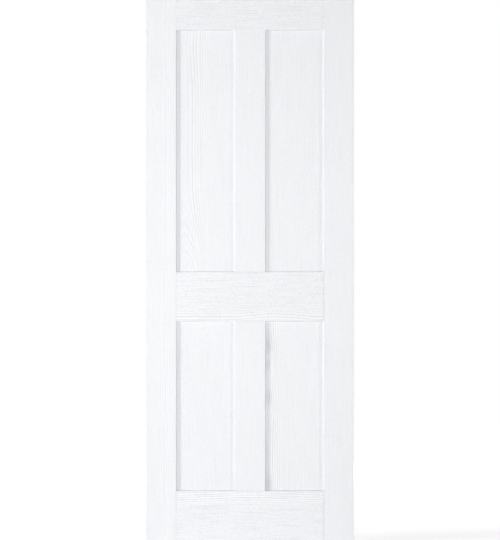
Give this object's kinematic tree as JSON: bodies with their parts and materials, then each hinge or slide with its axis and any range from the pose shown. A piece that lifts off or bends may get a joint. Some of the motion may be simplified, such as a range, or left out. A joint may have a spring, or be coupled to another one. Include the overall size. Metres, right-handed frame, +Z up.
{
  "type": "panelled fire door leaf",
  "caption": "White panelled timber fire door leaf with flat stiles, rails and muntins and raised panels; hangs by one long edge to close a doorway.",
  "frame": {"origin": "foot of the hinge edge, halfway through the thickness of the leaf", "axes": "+X across the leaf from hinge edge to lock edge, +Y from the front to the back face, +Z up"},
  "size_m": [0.762, 0.044, 1.981],
  "materials": {
    "white_upright_facing": "satin",
    "white_rail_facing": "satin",
    "white_panel": "satin",
    "white_lipping": "satin",
    "white_sealed_core": "matte"
  },
  "bodies": {
    "root": {"hinge_stile_core": "white_sealed_core", "hinge_stile_front_facing": "white_upright_facing", "hinge_stile_back_facing": "white_upright_facing", "lock_stile_core": "white_sealed_core", "lock_stile_front_facing": "white_upright_facing", "lock_stile_back_facing": "white_upright_facing", "top_rail_core": "white_sealed_core", "top_rail_front_facing": "white_rail_facing", "top_rail_back_facing": "white_rail_facing", "lock_rail_core": "white_sealed_core", "lock_rail_front_facing": "white_rail_facing", "lock_rail_back_facing": "white_rail_facing", "bottom_rail_core": "white_sealed_core", "bottom_rail_front_facing": "white_rail_facing", "bottom_rail_back_facing": "white_rail_facing", "upper_muntin_core": "white_sealed_core", "upper_muntin_front_facing": "white_upright_facing", "upper_muntin_back_facing": "white_upright_facing", "lower_muntin_core": "white_sealed_core", "lower_muntin_front_facing": "white_upright_facing", "lower_muntin_back_facing": "white_upright_facing", "hinge_edge_lipping": "white_lipping", "lock_edge_lipping": "white_lipping", "upper_left_panel": "white_panel", "upper_right_panel": "white_panel", "lower_left_panel": "white_panel", "lower_right_panel": "white_panel"}
  },
  "joints": []
}
